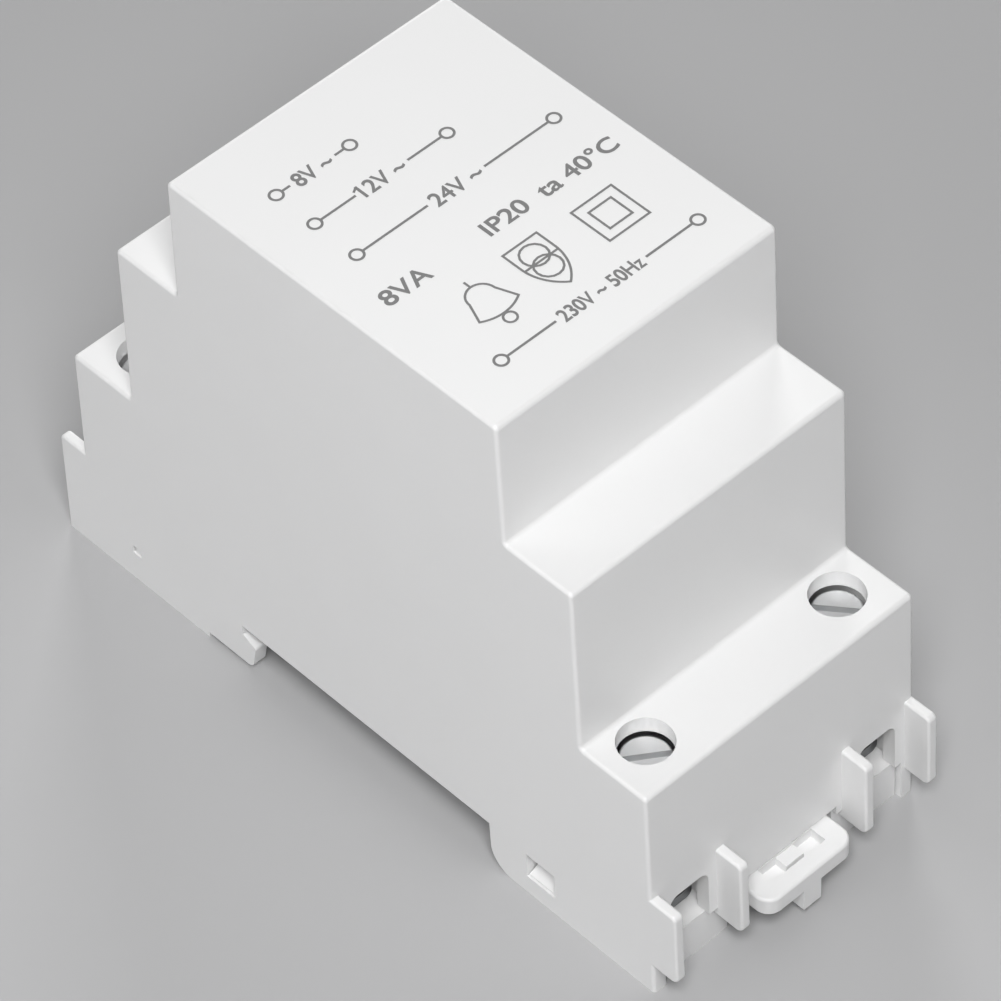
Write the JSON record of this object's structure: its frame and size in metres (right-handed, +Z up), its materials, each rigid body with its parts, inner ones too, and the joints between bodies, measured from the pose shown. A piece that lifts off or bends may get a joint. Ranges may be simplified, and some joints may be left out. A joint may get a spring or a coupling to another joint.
{
  "type": "doorbell transformer",
  "caption": "White rail-mounted doorbell transformer with a stepped moulded case, screw terminals at both ends and a sliding rail clip below.",
  "frame": {"origin": "on the plane of the feet, under the centre of the rail seat", "axes": "+X across the width, +Y towards the secondary terminals, +Z up, away from the rail"},
  "size_m": [0.036, 0.0904, 0.066],
  "materials": {
    "cover_plastic": "fine satin moulded white",
    "base_plastic": "fine satin moulded white",
    "clip_plastic": "smooth moulded white",
    "core_steel": "stacked varnished laminations",
    "former_plastic": "moulded nylon",
    "winding_copper": "enamelled wire",
    "coil_tape": "polyester film",
    "fuse_body": "moulded",
    "screw_zinc": "bright zinc plate",
    "clamp_zinc": "zinc plate",
    "contact_brass": "bright",
    "lead_primary": "insulated wire",
    "lead_secondary": "insulated wire"
  },
  "bodies": {
    "housing": {"cover": "cover_plastic", "base": "base_plastic", "core_e_stack": "core_steel", "core_i_stack": "core_steel", "bobbin": "former_plastic", "primary_winding": "winding_copper", "secondary_winding": "winding_copper", "primary_tape": "coil_tape", "secondary_tape": "coil_tape", "thermal_fuse": "fuse_body", "contact_primary_1": "contact_brass", "lead_primary_1": "lead_primary", "contact_primary_2": "contact_brass", "lead_primary_2": "lead_primary", "contact_secondary_1": "contact_brass", "lead_secondary_1": "lead_secondary", "contact_secondary_2": "contact_brass", "lead_secondary_2": "lead_secondary", "contact_secondary_3": "contact_brass", "lead_secondary_3": "lead_secondary", "contact_secondary_4": "contact_brass", "lead_secondary_4": "lead_secondary"},
    "screw_primary_1": {"screw_primary_1": "screw_zinc"},
    "clamp_primary_1": {"clamp_primary_1": "clamp_zinc"},
    "screw_primary_2": {"screw_primary_2": "screw_zinc"},
    "clamp_primary_2": {"clamp_primary_2": "clamp_zinc"},
    "screw_secondary_1": {"screw_secondary_1": "screw_zinc"},
    "clamp_secondary_1": {"clamp_secondary_1": "clamp_zinc"},
    "screw_secondary_2": {"screw_secondary_2": "screw_zinc"},
    "clamp_secondary_2": {"clamp_secondary_2": "clamp_zinc"},
    "screw_secondary_3": {"screw_secondary_3": "screw_zinc"},
    "clamp_secondary_3": {"clamp_secondary_3": "clamp_zinc"},
    "screw_secondary_4": {"screw_secondary_4": "screw_zinc"},
    "clamp_secondary_4": {"clamp_secondary_4": "clamp_zinc"},
    "din_clip": {"din_clip": "clip_plastic"}
  },
  "joints": [
    {"name": "clip_slide", "type": "slide", "parent": "housing", "child": "din_clip", "axis": [0, -1, 0], "range_m": [0, 0.004]},
    {"name": "screw_primary_1_turn", "type": "hinge", "parent": "housing", "child": "screw_primary_1", "pos_m": [-0.0129, -0.0357, 0.02545], "axis": [0, 0, -1], "range_deg": [0, 1800]},
    {"name": "clamp_primary_1_rise", "type": "slide", "parent": "housing", "child": "clamp_primary_1", "axis": [0, 0, 1], "range_m": [0, 0.003]},
    {"name": "screw_primary_2_turn", "type": "hinge", "parent": "housing", "child": "screw_primary_2", "pos_m": [0.0129, -0.0357, 0.02545], "axis": [0, 0, -1], "range_deg": [0, 1800]},
    {"name": "clamp_primary_2_rise", "type": "slide", "parent": "housing", "child": "clamp_primary_2", "axis": [0, 0, 1], "range_m": [0, 0.003]},
    {"name": "screw_secondary_1_turn", "type": "hinge", "parent": "housing", "child": "screw_secondary_1", "pos_m": [-0.0129, 0.0357, 0.02545], "axis": [0, 0, -1], "range_deg": [0, 1800]},
    {"name": "clamp_secondary_1_rise", "type": "slide", "parent": "housing", "child": "clamp_secondary_1", "axis": [0, 0, 1], "range_m": [0, 0.003]},
    {"name": "screw_secondary_2_turn", "type": "hinge", "parent": "housing", "child": "screw_secondary_2", "pos_m": [-0.0043, 0.0357, 0.02545], "axis": [0, 0, -1], "range_deg": [0, 1800]},
    {"name": "clamp_secondary_2_rise", "type": "slide", "parent": "housing", "child": "clamp_secondary_2", "axis": [0, 0, 1], "range_m": [0, 0.003]},
    {"name": "screw_secondary_3_turn", "type": "hinge", "parent": "housing", "child": "screw_secondary_3", "pos_m": [0.0043, 0.0357, 0.02545], "axis": [0, 0, -1], "range_deg": [0, 1800]},
    {"name": "clamp_secondary_3_rise", "type": "slide", "parent": "housing", "child": "clamp_secondary_3", "axis": [0, 0, 1], "range_m": [0, 0.003]},
    {"name": "screw_secondary_4_turn", "type": "hinge", "parent": "housing", "child": "screw_secondary_4", "pos_m": [0.0129, 0.0357, 0.02545], "axis": [0, 0, -1], "range_deg": [0, 1800]},
    {"name": "clamp_secondary_4_rise", "type": "slide", "parent": "housing", "child": "clamp_secondary_4", "axis": [0, 0, 1], "range_m": [0, 0.003]}
  ],
  "couplings": [
    {"joint": "screw_primary_1_turn", "follows": "clamp_primary_1_rise", "rad_per_m": 10472},
    {"joint": "screw_primary_2_turn", "follows": "clamp_primary_2_rise", "rad_per_m": 10472},
    {"joint": "screw_secondary_1_turn", "follows": "clamp_secondary_1_rise", "rad_per_m": 10472},
    {"joint": "screw_secondary_2_turn", "follows": "clamp_secondary_2_rise", "rad_per_m": 10472},
    {"joint": "screw_secondary_3_turn", "follows": "clamp_secondary_3_rise", "rad_per_m": 10472},
    {"joint": "screw_secondary_4_turn", "follows": "clamp_secondary_4_rise", "rad_per_m": 10472}
  ]
}
